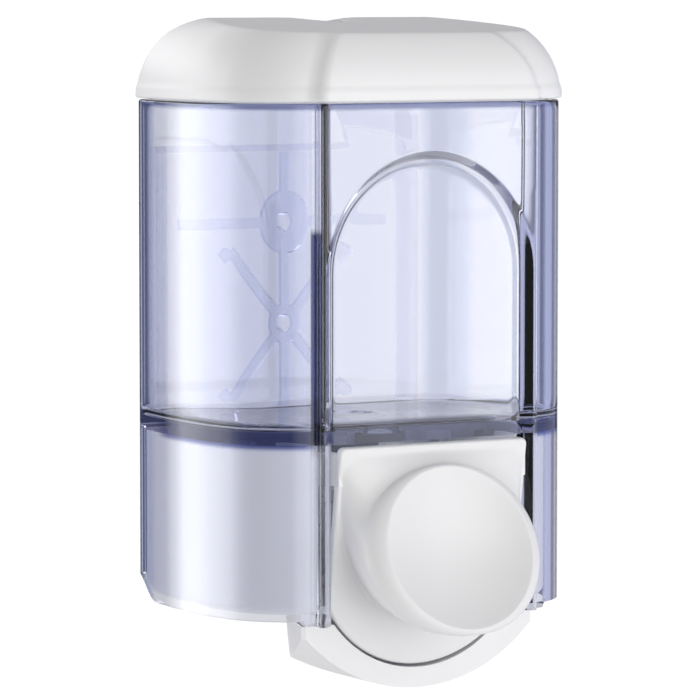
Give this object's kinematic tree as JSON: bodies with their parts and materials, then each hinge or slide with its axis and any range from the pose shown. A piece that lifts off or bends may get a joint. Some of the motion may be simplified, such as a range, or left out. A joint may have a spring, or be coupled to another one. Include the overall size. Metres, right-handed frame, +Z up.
{
  "type": "wall mounted soap dispenser",
  "caption": "Clear wall mounted soap dispenser with a lift-off white lid, arched front recess, hinged dished push button and a piston pump in a white base.",
  "frame": {"origin": "on the wall plane, midway between the two wall screws", "axes": "+Y into the wall, +Z up, +X to the right of a person facing the dispenser"},
  "size_m": [0.0996, 0.0945, 0.1633],
  "materials": {
    "clear_tank": "polished clear plastic",
    "clear_bracket": "clear moulded plastic",
    "white_shell": "satin white plastic",
    "white_button": "satin white plastic",
    "lock_metal": "plated die casting",
    "steel_parts": "bright steel",
    "pump_plastic": "natural moulded plastic",
    "seals": "moulded rubber"
  },
  "bodies": {
    "housing": {"tank": "clear_tank", "wall_bracket": "clear_bracket", "base_housing": "white_shell", "base_screws": "steel_parts", "pump_screws": "steel_parts", "pump_barrel": "pump_plastic", "barrel_cap": "pump_plastic", "inlet_cage": "pump_plastic", "tank_grommet": "seals", "spout_nozzle": "pump_plastic", "outlet_valve": "seals", "pivot_pin": "steel_parts", "return_spring": "steel_parts"},
    "button": {"push_button": "white_button"},
    "plunger": {"piston": "pump_plastic", "piston_seal": "seals"},
    "ball": {"inlet_ball": "steel_parts"},
    "cover": {"lid": "white_shell"},
    "lock": {"lock_barrel": "lock_metal", "lock_cam": "steel_parts", "lock_screw": "steel_parts"}
  },
  "joints": [
    {"name": "button_hinge", "type": "hinge", "parent": "housing", "child": "button", "pos_m": [0, -0.0636, -0.043], "axis": [1, 0, 0], "range_deg": [0, 14], "stiffness_Nm_per_rad": 0.8, "springref_deg": -6.88},
    {"name": "piston_slide", "type": "slide", "parent": "housing", "child": "plunger", "axis": [0, 1, 0], "range_m": [0, 0.0049], "deforming": ["return_spring"]},
    {"name": "ball_lift", "type": "slide", "parent": "housing", "child": "ball", "axis": [0, 0, 1], "range_m": [0, 0.0016]},
    {"name": "lid_lift", "type": "slide", "parent": "housing", "child": "cover", "axis": [0, 0, 1], "range_m": [0, 0.06]},
    {"name": "lock_turn", "type": "hinge", "parent": "cover", "child": "lock", "pos_m": [0, -0.023, 0.045], "axis": [0, 0, 1], "range_deg": [0, 90]}
  ],
  "couplings": [
    {"joint": "piston_slide", "follows": "button_hinge", "m_per_rad": 0.02}
  ]
}
